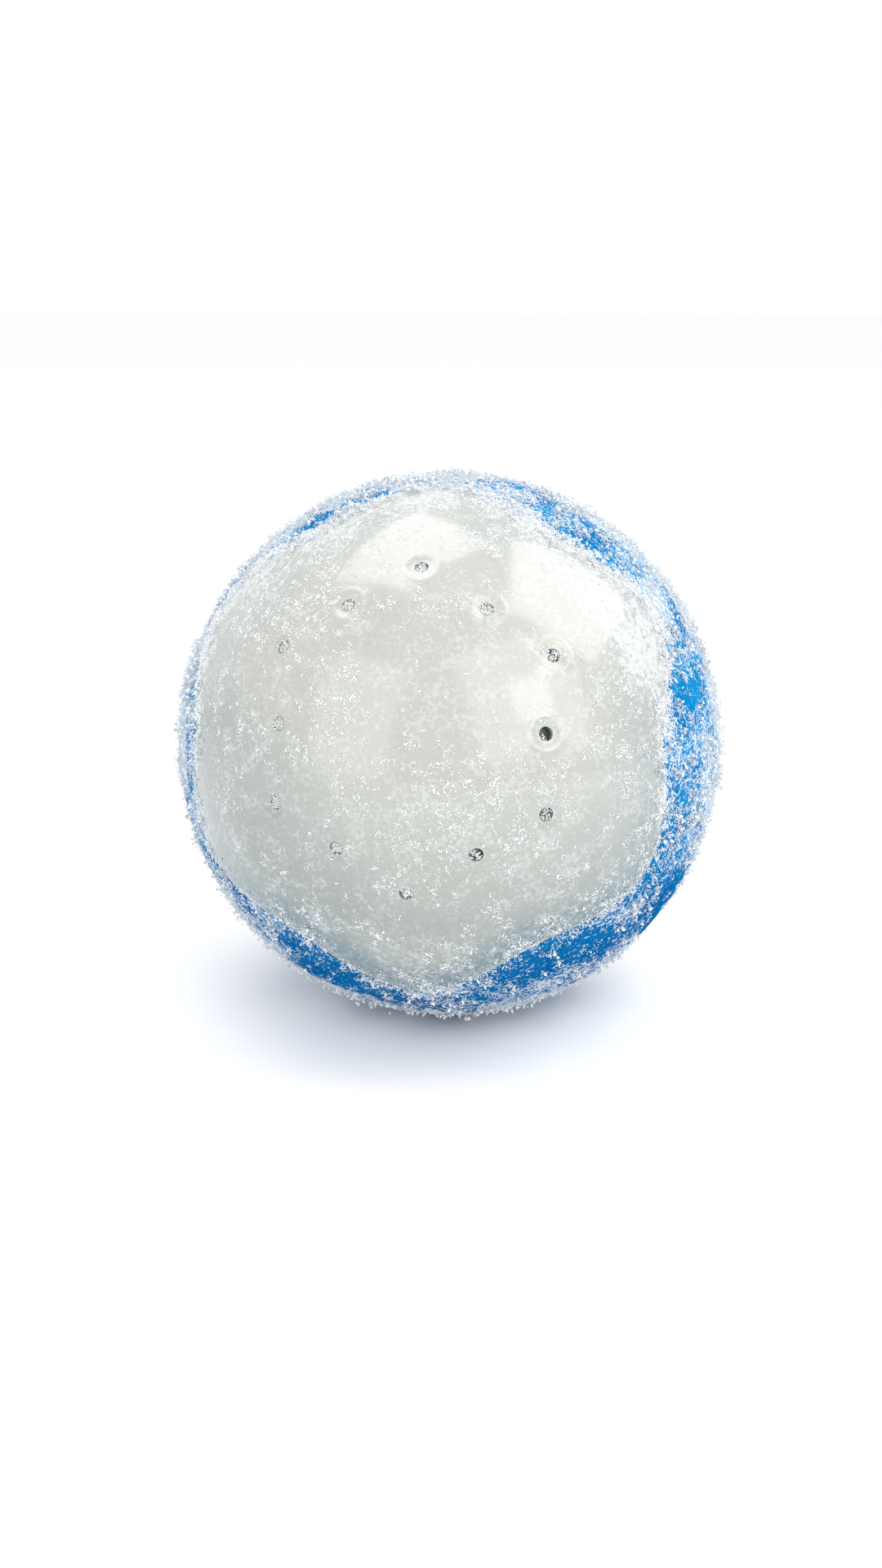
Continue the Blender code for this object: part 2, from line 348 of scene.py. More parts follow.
def moveVerts(piece, newPlace):
    for vert in piece.data.vertices:
        vert.co = newPlace(vert.co.copy())
    piece.data.update()


def applyModifier(piece, kind, **settings):
    pick(piece)
    modifier = piece.modifiers.new(kind.lower(), kind)
    for name, value in settings.items():
        setattr(modifier, name, value)
    bpy.ops.object.modifier_apply(modifier=modifier.name)


def putInPlace(piece, place):
    pick(piece)
    piece.matrix_world = place
    bpy.ops.object.transform_apply(location=True, rotation=True, scale=True)


def dress(piece, name, material, slot, *nodes):
    piece.name = name
    piece.data.name = name
    piece.data.materials.clear()
    piece.data.materials.append(material)
    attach(piece, "root")
    if nodes:
        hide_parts(*nodes)
    return piece


def angleFromAxis(point):
    return math.degrees(math.acos(max(-1.0, min(1.0, point.z / point.length))))


def atAngles(degrees, around, radius):
    angle = math.radians(degrees)
    return Vector((math.sin(angle) * math.cos(around), math.sin(angle) * math.sin(around),
                   math.cos(angle))) * radius


def waveAt(point):
    return ball["wave"] * math.cos(ball["lobes"] * math.atan2(point.y, point.x))


def addBall(p):
    deselectAll()
    bpy.ops.mesh.primitive_uv_sphere_add(
        segments=p["segments"], ring_count=p["rings"], radius=ball["radius"])
    return bpy.context.object


def ringAtBorder(p):  # degrees from the middle to the ring that becomes the border
    step = 180.0 / p["rings"]
    return round(ball["border"] / step) * step


def makeWall(piece, softEdge):
    limit = math.radians(ball["softenFrom"])
    applyModifier(piece, "SOLIDIFY", thickness=ball["wall"], offset=-1.0)
    applyModifier(piece, "BEVEL", width=softEdge, segments=4, limit_method="ANGLE", angle_limit=limit)


# the white panels

panel = {
    "segments": 144,
    "rings": 90,
    "softEdge": 0.16 * mm,
    "holeCount": 12,
    "holeRadius": 1.02 * mm,
    "holeSides": 32,
    "cornerHole": 32.1,  # degrees from the panel's middle
    "sideHole": 27.4,
    "stretch": 0.88,  # degrees that the hexagon is longer up and down than across
    "dishRadius": 2.25 * mm,
    "dishDepth": 0.27 * mm,
    "dishShare": (0.6, 0.75, 0.8, 0.8, 0.8, 0.8, 0.8, 0.8, 0.8, 1, 1, 0.9),  # top hole, then to the left
    "lipHeight": 0.06 * mm,
    "lipWidth": 0.35 * mm,
    "denseRadius": 3.3 * mm,  # finer faces this far round each hole
    "denseCuts": 6,
    "beyondDense": 1.5 * mm,  # how much farther points are moved
    "outerSkin": 1.0 * mm,  # deeper points belong to the wall's inner side
    "drillExtra": 3.0 * mm,  # the drills stand out on both sides of the wall
    "smoothBelow": 38.0,
}


def holeDirections(p):
    found = []
    for i in range(p["holeCount"]):
        around = 2 * math.pi * i / p["holeCount"]
        degrees = p["cornerHole"] if i % 2 == 0 else p["sideHole"]
        found.append(atAngles(degrees + p["stretch"] * math.cos(2 * around), around, 1.0))
    return found


def dishHeight(away, p):  # how far the surface rises at a distance from a hole's middle
    lip = p["lipHeight"] * math.exp(-((away - p["dishRadius"] * 1.1) / p["lipWidth"]) ** 2)
    share = max(0.0, min(1.0, (p["dishRadius"] - away) / (p["dishRadius"] - p["holeRadius"])))
    return lip - p["dishDepth"] * share * share * (3 - 2 * share)


def makeDrills(p):
    drills = []
    for direction in holeDirections(p):
        deselectAll()
        bpy.ops.mesh.primitive_cylinder_add(
            vertices=p["holeSides"], radius=p["holeRadius"], depth=ball["wall"] + p["drillExtra"],
            location=direction * (ball["radius"] - ball["wall"] / 2),
            rotation=direction.to_track_quat("Z", "Y").to_euler(),
        )
        drills.append(bpy.context.object)
    return joinPieces(drills)


def makePanel(name, node, place, p):
    piece = addBall(p)
    lastRing = ringAtBorder(p)
    deleteFaces(piece, lambda middle: angleFromAxis(middle) > lastRing)

    def toBorder(point):
        degrees = angleFromAxis(point) / lastRing * (ball["border"] + waveAt(point))
        return atAngles(degrees, math.atan2(point.y, point.x), ball["radius"])

    moveVerts(piece, toBorder)
    makeWall(piece, p["softEdge"])
    holes = holeDirections(p)

    def nearHole(middle):
        direction = middle.normalized()
        return middle.length > ball["radius"] - p["outerSkin"] and any(
            (direction - hole).length * ball["radius"] < p["denseRadius"] for hole in holes)

    editFaces(piece, nearHole)
    bpy.ops.mesh.subdivide(number_cuts=p["denseCuts"])
    endEdit()

    def intoDish(point):
        if point.length < ball["radius"] - p["outerSkin"]:
            return point
        direction = point.normalized()
        distances = [(direction - hole).length * ball["radius"] for hole in holes]
        away = min(distances)
        if away > p["denseRadius"] + p["beyondDense"]:
            return point
        share = p["dishShare"][distances.index(away)]
        return direction * (ball["radius"] + dishHeight(away, p) * share)

    moveVerts(piece, intoDish)
    drills = makeDrills(p)
    applyModifier(piece, "BOOLEAN", operation="DIFFERENCE", solver="EXACT", object=drills)
    bpy.data.objects.remove(drills)
    pick(piece)
    bpy.ops.object.shade_smooth_by_angle(angle=math.radians(p["smoothBelow"]))
    putInPlace(piece, place)
    return dress(piece, name, whiteRubber, "white_rubber", node)


frontPanel = makePanel("frontPanel", "front_panel", frontPlace, panel)
rearPanel = makePanel("rearPanel", "rear_panel", rearPlace, panel)
print("panels made")


# the blue belt

belt = {
    "segments": 144,
    "rings": 90,
    "gap": 0.08,  # degrees between the belt and a panel
    "softEdge": 0.16 * mm,
    "smoothBelow": 35.0,
}


def makeBelt(name, b):
    piece = addBall(b)
    start = ringAtBorder(b)
    deleteFaces(piece, lambda middle: not start < angleFromAxis(middle) < 180.0 - start)

    def toBorder(point):
        share = (angleFromAxis(point) - 90.0) / (90.0 - start)
        degrees = 90.0 + share * (90.0 - ball["border"] - b["gap"]) + waveAt(point)
        return atAngles(degrees, math.atan2(point.y, point.x), ball["radius"])

    moveVerts(piece, toBorder)
    makeWall(piece, b["softEdge"])
    putInPlace(piece, frontPlace)
    pick(piece)
    bpy.ops.object.mode_set(mode="EDIT")
    bpy.ops.mesh.select_all(action="SELECT")
    bpy.ops.mesh.bisect(  # cuts the resting spot flat at the floor
        plane_co=(0, 0, 0), plane_no=(0, 0, 1), clear_inner=True, use_fill=True, threshold=1e-6)
    endEdit()
    bpy.ops.object.shade_smooth_by_angle(angle=math.radians(b["smoothBelow"]))
    return dress(piece, name, blueRubber, "blue_rubber", "belt")


blueBelt = makeBelt("blueBelt", belt)
print("belt made")


# the frost: a few crystals are modelled once, and thousands of copies are joined

frostRules = {
    "tipLimit": 43.7 * mm,  # from the ball's middle to the highest tips
    "bareBottom": 22.0,  # degrees round the resting spot without frost
    "floorGap": 0.35 * mm,
    "upperFrom": 0.3,  # height where the panel's frost is split in two, in parts of the radius
    "sideFrom": 0.5,  # how far out the belt's left and right frost begins
    "rimWidth": 14.0,  # degrees from a panel's border over which its rim share fades
}
crystals = {
    # shape: how far its corners are jittered, and the first seed of that
    "speck": (0.12, 5),
    "splinter": (0.10, 0),
    "grain": (0.16, 20),
    "block": (0.16, 30),
}


def readShape(piece):
    bm = bmesh.new()
    bm.from_mesh(piece.data)
    bmesh.ops.triangulate(bm, faces=bm.faces)
    bmesh.ops.recalc_face_normals(bm, faces=bm.faces)
    corners = np.array([vert.co for vert in bm.verts])
    faces = np.array([[vert.index for vert in face.verts] for face in bm.faces])
    bm.free()
    bpy.data.objects.remove(piece)
    return corners, faces


def jitterShape(amount, seed):
    bpy.ops.object.mode_set(mode="EDIT")
    bpy.ops.mesh.select_all(action="SELECT")
    bpy.ops.transform.vertex_random(offset=amount, uniform=0.5, normal=0.0, seed=seed)
    bpy.ops.object.mode_set(mode="OBJECT")


def addCrystal(kind):  # one unit long, wide and high
    deselectAll()
    if kind == "speck":
        bpy.ops.mesh.primitive_cone_add(vertices=3, radius1=0.5, radius2=0, depth=1.0)
    elif kind == "splinter":
        bpy.ops.mesh.primitive_uv_sphere_add(segments=4, ring_count=2, radius=0.5)
    elif kind == "grain":
        bpy.ops.mesh.primitive_ico_sphere_add(subdivisions=1, radius=0.5)
    else:
        bpy.ops.mesh.primitive_cube_add(size=0.8)
    return bpy.context.object


def modelShapes(rows, variants=3):
    found = {}
    for kind, (jitter, firstSeed) in rows.items():
        found[kind] = []
        for seed in range(firstSeed, firstSeed + variants):
            piece = addCrystal(kind)
            jitterShape(jitter, seed)
            found[kind].append(readShape(piece))
    return found


shapes = modelShapes(crystals)


def softNoise(points, size, seed, cells=32):  # between 0 and 1, its lumps about one size across
    table = np.random.default_rng(seed).random((cells, cells, cells))
    scaled = points / size + 500.0  # clear of zero
    low = np.floor(scaled).astype(int)
    part = scaled - low
    part = part * part * (3 - 2 * part)
    total = np.zeros(len(points))
    for corner in itertools.product((0, 1), repeat=3):
        share = np.prod(np.where(corner, part, 1 - part), axis=1)
        index = (low + corner) % cells
        total += share * table[index[:, 0], index[:, 1], index[:, 2]]
    return total


def layeredNoise(points, size, seed, layers, fade=1.6):  # each layer is finer and weaker
    total, weight = 0.0, 0.0
    for i in range(layers):
        total = total + softNoise(points, size / 2 ** i, seed + i) / fade ** i
        weight += 1 / fade ** i
    return total / weight


def smoothStep(value, low, high):
    share = np.clip((value - low) / (high - low), 0, 1)
    return share * share * (3 - 2 * share)


def spreadOut(count, rng):
    height = rng.uniform(-1, 1, count)
    around = rng.uniform(0, 2 * math.pi, count)
    across = np.sqrt(1 - height ** 2)
    return np.c_[across * np.cos(around), across * np.sin(around), height]


axes = np.array(panelAxes().to_3x3())


def panelAngles(directions):  # degrees from the front panel's middle, and the turn round it
    local = directions @ axes
    return np.degrees(np.arccos(np.clip(local[:, 2], -1, 1))), np.arctan2(local[:, 1], local[:, 0])


def degreesInside(directions):  # how far inside a white panel, below 0 on the belt
    angle, around = panelAngles(directions)
    swing = ball["wave"] * np.cos(ball["lobes"] * around)
    return np.maximum(ball["border"] + swing - angle, angle - (180 - ball["border"] + swing))


def allHoles():
    holes = holeDirections(panel)
    return np.array([place.to_3x3() @ hole for place in (frontPlace, rearPlace) for hole in holes])


holesInBall = allHoles()


def nearestHole(directions):  # metres along the surface to the middle of the nearest hole
    return np.arccos(np.clip((directions @ holesInBall.T).max(axis=1), -1, 1)) * ball["radius"]


def mayGrow(directions):
    down = np.degrees(np.arccos(np.clip(-directions[:, 2], -1, 1)))
    return down > frostRules["bareBottom"]


# where the frost is thick or thin: degrees from the front panel's middle, clock degrees, spread, amount
panelSpots = [
    (53, -28, 10, 0.75), (56, -4, 9, 0.75), (54, -52, 9, 0.55), (52, 28, 8, 0.50),
    (54, 68, 10, 0.75), (50, 50, 9, 0.50), (50, -76, 8, 0.20),
]
frostSpots = [
    (25, -65, 12, 0.10), (38, -52, 9, 0.12), (34, -95, 8, 0.12), (16, 160, 10, 0.11),
    (24, 120, 8, 0.11), (50, 67, 8, 0.05), (48, 99, 8, 0.05), (43, -1, 7, -0.12),
    (42, 46, 9, -0.12), (27, 77, 8, -0.12), (5, -110, 9, -0.10), (54, 8, 8, 0.06),
    (55, -97, 9, -0.10), (54, -125, 9, -0.08), (53, 128, 8, -0.06),
]
beltSpots = [
    (70, -2, 9, 0.30), (63, 11, 5, 0.15), (63, 22, 4, -0.20), (61, 32, 5, -0.07),
    (62, 42, 4, -0.06), (61, 51, 5, 0.30), (69, 55, 6, 0.45), (77, 38, 9, 0.40),
    (61, 57, 3, 0.10), (66, 78, 7, -0.31), (66, 95, 6, -0.04), (66, 131, 8, -0.05),
    (60, 139, 8, -0.20), (80, 125, 12, -0.46), (78, 113, 9, -0.12), (64, 160, 14, -0.30),
    (64, 195, 14, -0.30), (60, -28, 2.4, -0.30), (60, -35, 2.6, -0.36), (60, -21, 2.4, -0.42),
    (61, -13, 2.8, -0.42), (67, -26, 5, 0.45), (69, -42, 6, 0.50), (61, -50, 6, 0.75),
    (58, -64, 8, 0.50), (72, -73, 8, 0.40), (59, -92, 4, -0.4), (59, -104, 4, -0.4),
    (68, -95, 7, 0.50), (70, -112, 7, 0.30), (64, -134, 7, -0.15),
]


def spotSum(directions, spots):
    total = np.zeros(len(directions))
    for fromMiddle, clock, spread, amount in spots:
        spot = axes @ np.array(atAngles(fromMiddle, -math.radians(clock), 1.0))
        away = np.degrees(np.arccos(np.clip(directions @ spot, -1, 1)))
        total += amount * np.exp(-(away / spread) ** 2)
    return total


def panelCover(directions):  # the chance that a clump grows at a place on the panels
    points = directions * ball["radius"]
    lace = layeredNoise(points, 2.0 * mm, 40, 4)
    patch = layeredNoise(points, 9 * mm, 50, 2)
    upper = smoothStep(directions[:, 2], -0.2, 0.5)
    edge = (1 - smoothStep(degreesInside(directions), 0.5, 8.0)) * upper
    field = 0.6 * lace + 0.4 * patch + 0.13 * edge + spotSum(directions, frostSpots)
    clear = smoothStep(nearestHole(directions), 1.3 * mm, 1.9 * mm)
    return (0.03 + smoothStep(field, 0.50, 0.61)) * clear


def frostShare(directions):  # 0 where the belt is bare, 1 where the frost is closed
    up = directions[:, 2]
    inside = degreesInside(directions)
    upper = smoothStep(up, -0.4, 0.3)
    patch = layeredNoise(directions * ball["radius"], 6 * mm, 70, 2)
    seam = np.exp(-((inside - 0.3) / 3.0) ** 2) * (0.05 + 0.20 * upper)
    far = (1 - smoothStep(inside, -26.0, -11.0)) * (0.25 + 0.75 * smoothStep(up, -0.5, 0.2))
    share = 0.40 + 1.1 * (patch - 0.5) + seam + 0.45 * far + spotSum(directions, beltSpots)
    share = np.clip(share, 0, 1) * (1 - smoothStep(inside, upper - 0.5, 2.5 + 4.0 * upper))
    return np.clip(share + spotSum(directions, panelSpots) * smoothStep(inside, 0.5, 4.0), 0, 1)


def crustCover(directions):  # the chance that a clump grows at a place on the belt
    lace = layeredNoise(directions * ball["radius"], 1.3 * mm, 60, 4)
    return 0.05 + smoothStep(lace + 0.36 * (frostShare(directions) - 0.42), 0.46, 0.58)


def giveShares(piece):  # for the rubber's materials, on the points of the mesh
    places = np.array([vert.co - centre for vert in piece.data.vertices])
    directions = places / np.linalg.norm(places, axis=1)[:, None]
    rim = 1 - smoothStep(degreesInside(directions), 0.0, frostRules["rimWidth"])
    for name, share in (("frost", frostShare(directions)), ("rim", rim)):
        layer = piece.data.attributes.new(name, "FLOAT", "POINT")
        layer.data.foreach_set("value", share.astype(np.float32))


def turnAxes(normals, lift, rng):  # long, wide and high directions of each crystal
    count = len(normals)
    helper = np.where(np.abs(normals[:, 2:3]) < 0.9, [[0.0, 0.0, 1.0]], [[1.0, 0.0, 0.0]])
    first = np.cross(normals, helper)
    first /= np.linalg.norm(first, axis=1)[:, None]
    second = np.cross(normals, first)
    spin = rng.uniform(0, 2 * math.pi, count)[:, None]
    flat = first * np.cos(spin) + second * np.sin(spin)
    side = second * np.cos(spin) - first * np.sin(spin)
    lift = lift[:, None]
    long = flat * np.cos(lift) + normals * np.sin(lift)
    high = normals * np.cos(lift) - flat * np.sin(lift)
    roll = rng.uniform(0, 2 * math.pi, count)[:, None]
    wide = side * np.cos(roll) + high * np.sin(roll)
    return long, wide, high * np.cos(roll) - side * np.sin(roll)


def placeCrystals(kind, directions, heights, sizes, lift, rng):  # arrays of corners and faces
    corners, faces = [], []
    count = 0
    variants = shapes[kind]
    choice = rng.integers(0, len(variants), len(directions))
    long, wide, high = turnAxes(directions, lift, rng)
    middles = directions * (ball["radius"] + heights)[:, None]
    for v, (shapeCorners, shapeFaces) in enumerate(variants):
        mine = choice == v
        size = sizes[mine]
        placed = (middles[mine][:, None, :]
                  + shapeCorners[None, :, 0:1] * size[:, None, 0:1] * long[mine][:, None, :]
                  + shapeCorners[None, :, 1:2] * size[:, None, 1:2] * wide[mine][:, None, :]
                  + shapeCorners[None, :, 2:3] * size[:, None, 2:3] * high[mine][:, None, :])
        number = len(size)
        offset = (np.arange(number) * len(shapeCorners))[:, None, None] + count
        corners.append(placed.reshape(-1, 3))
        faces.append((shapeFaces[None, :, :] + offset).reshape(-1, 3))
        count += number * len(shapeCorners)
    return np.concatenate(corners), np.concatenate(faces)


def joinCrystals(name, batches, material):
    corners, faces = [], []
    count = 0
    for batchCorners, batchFaces in batches:
        corners.append(batchCorners)
        faces.append(batchFaces + count)
        count += len(batchCorners)
    corners, faces = np.concatenate(corners), np.concatenate(faces)
    far = np.linalg.norm(corners, axis=1)
    corners *= np.minimum(1.0, frostRules["tipLimit"] / far)[:, None]
    corners += np.array(centre)
    corners[:, 2] = np.maximum(corners[:, 2], frostRules["floorGap"])
    mesh = bpy.data.meshes.new(name)
    mesh.vertices.add(len(corners))
    mesh.vertices.foreach_set("co", corners.astype(np.float32).ravel())
    mesh.loops.add(len(faces) * 3)
    mesh.loops.foreach_set("vertex_index", faces.astype(np.int32).ravel())
    mesh.polygons.add(len(faces))
    mesh.polygons.foreach_set("loop_start", np.arange(0, len(faces) * 3, 3, dtype=np.int32))
    mesh.update(calc_edges=True)
    mesh.validate()
    piece = bpy.data.objects.new(name, mesh)
    bpy.context.scene.collection.objects.link(piece)
    print(name, "has", len(faces), "triangles")
    return dress(piece, name, material, "frost", "frost_crust")


def pickPlaces(candidates, cover, count, rng):
    chance = cover * mayGrow(candidates)
    kept = candidates[rng.random(len(candidates)) < chance]
    return kept[:count]


def clusters(seeds, members, spread, rng):  # points scattered round each seed, and how far out they lie
    seeds = np.repeat(seeds, members, axis=0)
    shift = rng.normal(0, spread / ball["radius"] / 1.5, seeds.shape)
    points = seeds + shift
    points /= np.linalg.norm(points, axis=1)[:, None]
    away = np.linalg.norm(points - seeds, axis=1) * ball["radius"] / spread
    return points, np.clip(away, 0, 1)


def grow(sort, directions, rng, away=None, mound=1.0, level=0.0):
    kind, heights, size, lean = sort
    low, high = level + heights[0] * mm, level + heights[1] * mm
    n = len(directions)
    share = rng.random(n) if away is None else rng.random(n) * (1 - 0.8 * away)
    middles = low + (high - low) * share * mound
    size = rng.uniform(0.5, 1.0, (n, 1)) * np.array([size]) * mm * rng.uniform(0.75, 1.25, (n, 3))
    lift = rng.uniform(-lean, lean, n)
    return placeCrystals(kind, directions, middles, size, lift, rng)


# each sort of crystal is its shape, the lowest and highest middle and the length, width and thickness
# in mm, and the most that it leans, in radians

panelGrowth = {
    "tries": 12,  # places tried for each clump
    "reach": -0.5,  # degrees inside the panel where the clumps begin
    "finePerClump": 5,
    "fineSpread": 0.42 * mm,
    "fine": ("speck", (-0.03, 0.10), (0.33, 0.21, 0.14), 0.6),
    "coarsePerClump": 2,
    "coarseSpread": 0.40 * mm,
    "coarse": ("splinter", (-0.02, 0.18), (0.70, 0.19, 0.15), 0.5),
}


def makePanelFrost(name, keep, count, seed, g):
    rng = np.random.default_rng(seed)
    candidates = spreadOut(count * g["tries"], rng)
    candidates = candidates[keep(candidates) & (degreesInside(candidates) > g["reach"])]
    seeds = pickPlaces(candidates, panelCover(candidates), count, rng)
    fine, away = clusters(seeds, g["finePerClump"], g["fineSpread"], rng)
    coarse, coarseAway = clusters(seeds[::2], g["coarsePerClump"], g["coarseSpread"], rng)
    batches = [grow(g["fine"], fine, rng, away), grow(g["coarse"], coarse, rng, coarseAway)]
    return joinCrystals(name, batches, panelFrost)


crustGrowth = {
    "tries": 14,
    "reach": 4.0,  # degrees inside the panel where the clumps end
    "moundSize": 1.5 * mm,
    "moundSeed": 88,
    "finePerClump": 8,
    "fineSpread": 0.46 * mm,
    "fine": ("speck", (0.0, 0.85), (0.37, 0.28, 0.18), 1.1),
    "coarseSpread": 0.35 * mm,
    "coarse": ("splinter", (0.05, 0.95), (0.60, 0.26, 0.20), 1.3),
    "spike": ("splinter", (0.25, 0.9), (1.15, 0.42, 0.34), 1.5),
    "largeFrom": 0.6,  # mounds above this also carry grains and blocks
    "grain": ("grain", (0.3, 1.0), (0.80, 0.60, 0.48), 1.5),
    "block": ("block", (0.3, 1.0), (0.70, 0.54, 0.40), 1.5),
}


def makeCrustFrost(name, keep, count, seed, g):
    rng = np.random.default_rng(seed)
    candidates = spreadOut(count * g["tries"], rng)
    candidates = candidates[keep(candidates) & (degreesInside(candidates) < g["reach"])]
    seeds = pickPlaces(candidates, crustCover(candidates), count, rng)
    lumps = softNoise(seeds * ball["radius"], g["moundSize"], g["moundSeed"])
    mound = 0.25 + 0.75 * smoothStep(lumps, 0.35, 0.8)
    mound *= 0.8 + 0.8 * smoothStep(frostShare(seeds), 0.4, 0.9)
    fine, away = clusters(seeds, g["finePerClump"], g["fineSpread"], rng)
    coarse, coarseAway = clusters(seeds[::2], 1, g["coarseSpread"], rng)
    large = seeds[mound > g["largeFrom"]][::4]
    batches = [
        grow(g["fine"], fine, rng, away, np.repeat(mound, g["finePerClump"])),
        grow(g["coarse"], coarse, rng, coarseAway, mound[::2]),
        grow(g["spike"], seeds[1::5], rng, None, mound[1::5]),
        grow(g["grain"], large[::2], rng),
        grow(g["block"], large[1::2], rng),
    ]
    return joinCrystals(name, batches, beltFrost)


seamGrowth = {
    "tries": 60,
    "wander": 6.0,  # degrees that the band strays from the border, from side to side
    "narrow": 0.4,
    "wide": 1.8,
    "finePerClump": 7,
    "fineSpread": 0.42 * mm,
    "fine": ("speck", (0.0, 0.40), (0.37, 0.28, 0.18), 1.0),
    "coarseSpread": 0.35 * mm,
    "coarse": ("splinter", (0.0, 0.45), (0.55, 0.22, 0.18), 1.0),
}


def makeSeamFrost(name, count, seed, g):  # a ragged band that hides most of the two borders
    rng = np.random.default_rng(seed)
    candidates = spreadOut(count * g["tries"], rng)
    points = candidates * ball["radius"]
    wander = g["wander"] * (layeredNoise(points, 2.5 * mm, 90, 2) - 0.5)
    wide = smoothStep(layeredNoise(points, 3 * mm, 93, 2), 0.42, 0.62)
    away = (degreesInside(candidates) - wander) / (g["narrow"] + g["wide"] * wide)
    near = np.exp(-away ** 2) * (0.3 + 0.7 * wide)
    near *= mayGrow(candidates) * (0.2 + 0.8 * smoothStep(candidates[:, 2], -0.4, 0.2))
    seeds = candidates[rng.random(len(candidates)) < near][:count]
    fine, fineAway = clusters(seeds, g["finePerClump"], g["fineSpread"], rng)
    coarse, coarseAway = clusters(seeds[::2], 1, g["coarseSpread"], rng)
    batches = [grow(g["fine"], fine, rng, fineAway), grow(g["coarse"], coarse, rng, coarseAway)]
    return joinCrystals(name, batches, panelFrost)


frontMiddle = np.array(frontOut)


def onFront(directions):
    return directions @ frontMiddle > 0


def onUpper(directions):
    return directions[:, 2] > frostRules["upperFrom"]


def atSides(directions):
    return np.abs(directions[:, 0]) > frostRules["sideFrom"]


for rubber in (frontPanel, rearPanel, blueBelt):
    giveShares(rubber)
# name, where it grows, most clumps, seed
panelFrosts = [
    ("panelFrostUpper", lambda d: onFront(d) & onUpper(d), 4600, 101),
    ("panelFrostLower", lambda d: onFront(d) & ~onUpper(d), 4200, 102),
    ("panelFrostRear", lambda d: ~onFront(d), 2300, 103),
]
crustFrosts = [
    ("beltFrostRight", lambda d: atSides(d) & (d[:, 0] > 0), 4200, 104),
    ("beltFrostLeft", lambda d: atSides(d) & (d[:, 0] < 0), 4200, 105),
    ("beltFrostUpper", lambda d: ~atSides(d) & (d[:, 2] > 0), 4200, 106),
    ("beltFrostLower", lambda d: ~atSides(d) & (d[:, 2] <= 0), 2200, 107),
]
makeSeamFrost("seamFrost", 2300, 108, seamGrowth)
for row in panelFrosts:
    makePanelFrost(*row, panelGrowth)
for row in crustFrosts:
    makeCrustFrost(*row, crustGrowth)
print("frost grown")


# ice and crystals in the small holes, from the top one round to the left

holeIce = {
    "fill": (0.84, 0.93, 1.0, 1.03, 1.0, 0.95, 0.75, 0.25, 0.25, 0.12, 0.40, 0.84),
    "cover": (1, 1, 1, 1, 1, 1, 0.80, 0.68, 0.74, 0.22, 0.84, 1),  # share that crystals close
    "openSide": (0, 0, 0, 0, 0, 0, 250, 40, 310, 40, 220, 0),  # clock degrees of the open part
    # share of the crystals that lie in each hole
    "snow": (0.90, 0.55, 0.40, 0.35, 0.35, 0.40, 0.95, 0.83, 0.89, 0.37, 1.0, 0.90),
    "deepest": 1.9 * mm,
    "shallowest": 0.30 * mm,
    "plugRadius": 1.06 * mm,
    "plugHeight": 0.35 * mm,
    "plugJitter": 0.05 * mm,
    "crystals": 110,
    "crystal": ("speck", (0.0, 0.4), (0.40, 0.28, 0.22), 1.2),
    "crystalReach": 0.98 * mm,
    "crystalDepth": 0.7 * mm,  # the crystals lie no deeper
    "ringCrystals": 46,
    "ringCrystal": ("speck", (-0.34, -0.16), (0.30, 0.2, 0.16), 0.8),
    "ringReach": (1.12, 1.5),  # mm from the hole's middle
}
# deepShade is painted shade for ice that sits deep in a hole
iceLook = {"deepShade": (0.10, 0.14, 0.15, 1), "pale": (0.50, 0.515, 0.475, 1)}


def makeIce(look):
    f = Finish("holeIce")
    # painted shade: the ice darkens the deeper it sits in its hole
    shallow = f.ramp(f.radius, ball["radius"] - 1.9 * mm, ball["radius"] - 0.6 * mm)
    flecks = f.ramp(f.noise(0.35 * mm, 3.0), 0.45, 0.62)
    colour = f.blend(shallow * 0.8 + flecks * 0.2, look["deepShade"], look["pale"])
    bump = f.add("Bump", {}, {"Strength": 0.5, "Distance": 0.08 * mm, "Height": flecks}, "Normal")
    return f.close(Base_Color=colour, Roughness=0.2, IOR=1.31, Normal=bump, Coat_Weight=0.5)


def addPlug(out, depth, h, seed):
    deselectAll()
    bpy.ops.mesh.primitive_ico_sphere_add(
        subdivisions=3, radius=1.0, location=centre + out * (ball["radius"] - depth - h["plugHeight"]),
        rotation=out.to_track_quat("Z", "Y").to_euler(),
        scale=(h["plugRadius"], h["plugRadius"], h["plugHeight"]))
    bpy.ops.object.transform_apply(location=True, rotation=True, scale=True)
    jitterShape(h["plugJitter"], seed)
    return bpy.context.object


def roundHole(out, distance, turn):  # directions round a hole, turned from its top to the left
    up = Vector((0, 0, 1)) - out * out.z
    first, second = np.array(up.normalized()), np.array(out.cross(up).normalized())
    spread = np.cos(turn)[:, None] * first + np.sin(turn)[:, None] * second
    points = np.array(out) * ball["radius"] + spread * distance[:, None]
    return points / np.linalg.norm(points, axis=1)[:, None]


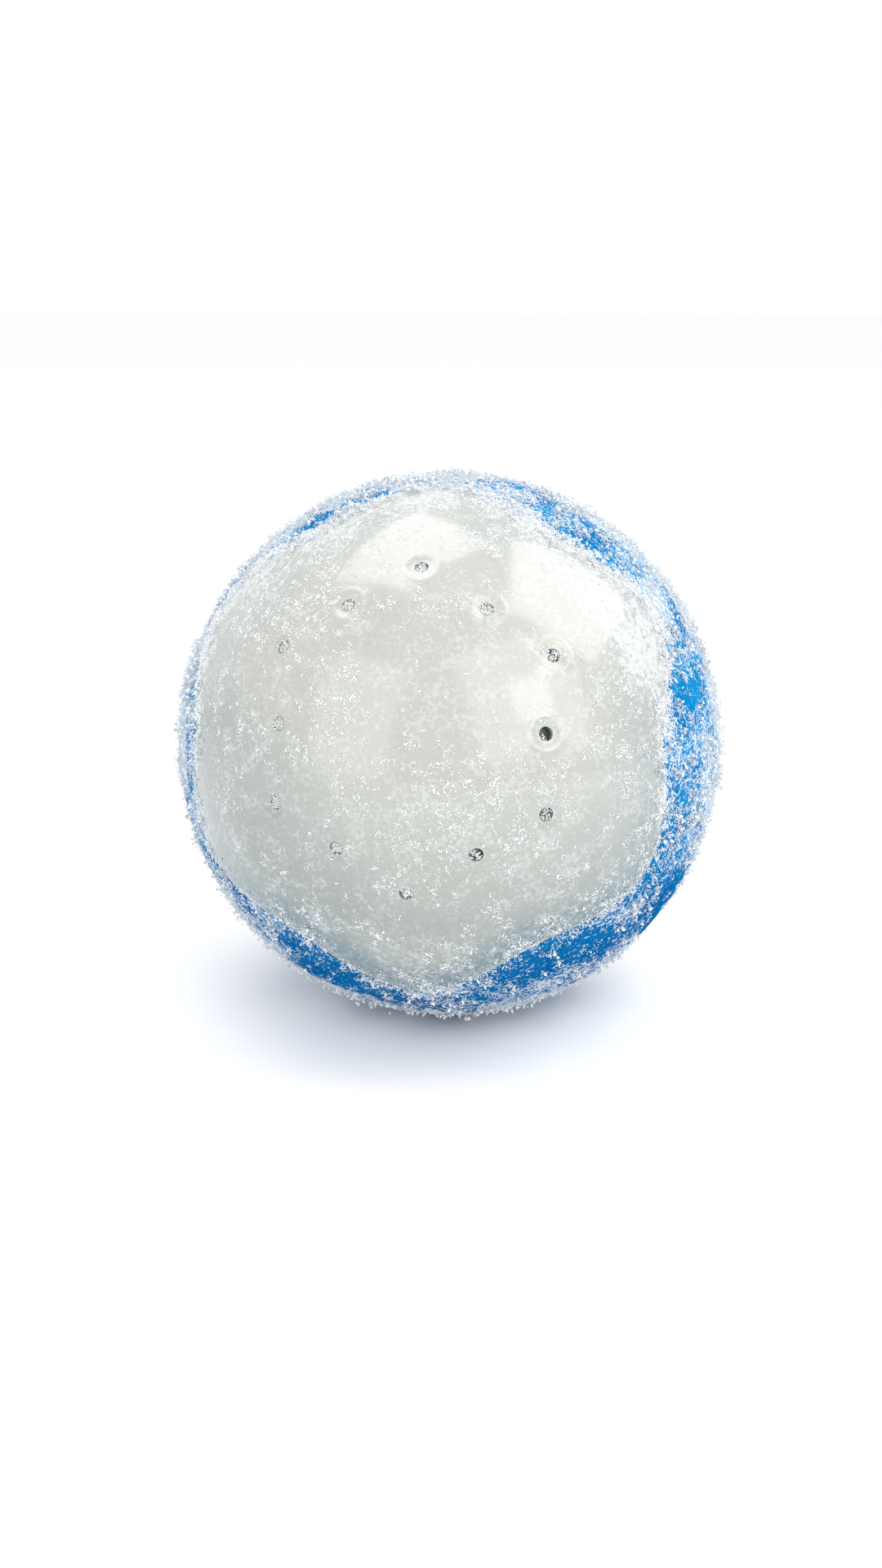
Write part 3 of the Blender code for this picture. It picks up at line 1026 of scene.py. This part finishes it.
def fillHoles(name, place, h, seed):
    rng = np.random.default_rng(seed)
    plugs, batches = [], []
    for i, hole in enumerate(holeDirections(panel)):
        depth = h["deepest"] + (h["shallowest"] - h["deepest"]) * h["fill"][i]
        out = (place.to_3x3() @ hole).normalized()
        plugs.append(addPlug(out, depth, h, i))
        count = int(h["crystals"] * h["snow"][i])
        distance = h["crystalReach"] * np.sqrt(rng.random(count))
        turn = rng.uniform(0, 2 * math.pi, count)
        openFrom = (h["cover"][i] * 1.7 - 0.7) * mm
        opened = distance * np.cos(turn + math.radians(h["openSide"][i])) > openFrom
        inside = roundHole(out, distance[~opened], turn[~opened])
        batches.append(grow(h["crystal"], inside, rng, level=-min(depth, h["crystalDepth"])))
        count = h["ringCrystals"]
        distance = rng.uniform(*h["ringReach"], count) * mm
        ring = roundHole(out, distance, rng.uniform(0, 2 * math.pi, count))
        batches.append(grow(h["ringCrystal"], ring, rng))
    joinCrystals(name + "Frost", batches, panelFrost)
    piece = joinPieces(plugs)
    bpy.ops.object.shade_smooth()
    return dress(piece, name + "Ice", ice, "frost")


ice = makeIce(iceLook)
fillHoles("frontHoles", frontPlace, holeIce, 201)
fillHoles("rearHoles", rearPlace, holeIce, 202)
print("holes filled")


# the floor and the light

stage = {
    "size": 6.0,
    "level": -0.02 * mm,  # just below the resting spot
    "colour": (0.975, 0.977, 0.98, 1),
    "rough": 0.9,
    "sky": (1.0, 1.0, 1.0, 1),
    "skyStrength": 1.0,
}


def makeFloor(s):
    deselectAll()
    bpy.ops.mesh.primitive_plane_add(size=s["size"], location=(0, 0, s["level"]))
    floor = bpy.context.object
    floor.name = "floor"
    material = bpy.data.materials.new("paleFloor")
    material.use_nodes = True
    shader = material.node_tree.nodes["Principled BSDF"]
    shader.inputs["Base Color"].default_value = s["colour"]
    shader.inputs["Roughness"].default_value = s["rough"]
    floor.data.materials.append(material)


lights = [
    # name, direction from the ball (right, up, toward the camera), distance, width, height, brightness
    ("top", (-0.20, 0.96, 0.04), 0.70, 0.46, 0.38, 1.9),
    ("upperRight", (0.58, 0.74, 0.14), 0.70, 0.50, 0.46, 2.1),
    ("right", (0.50, 0.30, 0.80), 0.70, 0.60, 0.60, 1.15),
    ("spark", (0.53, 0.29, 0.80), 0.68, 0.19, 0.19, 1.8),
    ("left", (-0.61, 0.17, 0.77), 0.75, 0.44, 0.62, 0.85),
]


def addLights(rows):
    for name, direction, distance, width, height, brightness in rows:
        away = (camera.matrix_world.to_3x3() @ Vector(direction)).normalized()
        bpy.ops.object.light_add(type="AREA", location=centre + away * distance)
        light = bpy.context.object
        light.name = name
        light.rotation_euler = away.to_track_quat("Z", "Y").to_euler()
        light.data.shape = "RECTANGLE"
        light.data.size = width
        light.data.size_y = height
        light.data.energy = brightness * math.pi * width * height


def setWorld(s):
    world = bpy.data.worlds.new("studio")
    bpy.context.scene.world = world
    world.use_nodes = True
    background = world.node_tree.nodes["Background"]
    background.inputs["Color"].default_value = s["sky"]
    background.inputs["Strength"].default_value = s["skyStrength"]


makeFloor(stage)
addLights(lights)
setWorld(stage)
bpy.context.scene.view_settings.view_transform = "Standard"
print("floor and lights set")
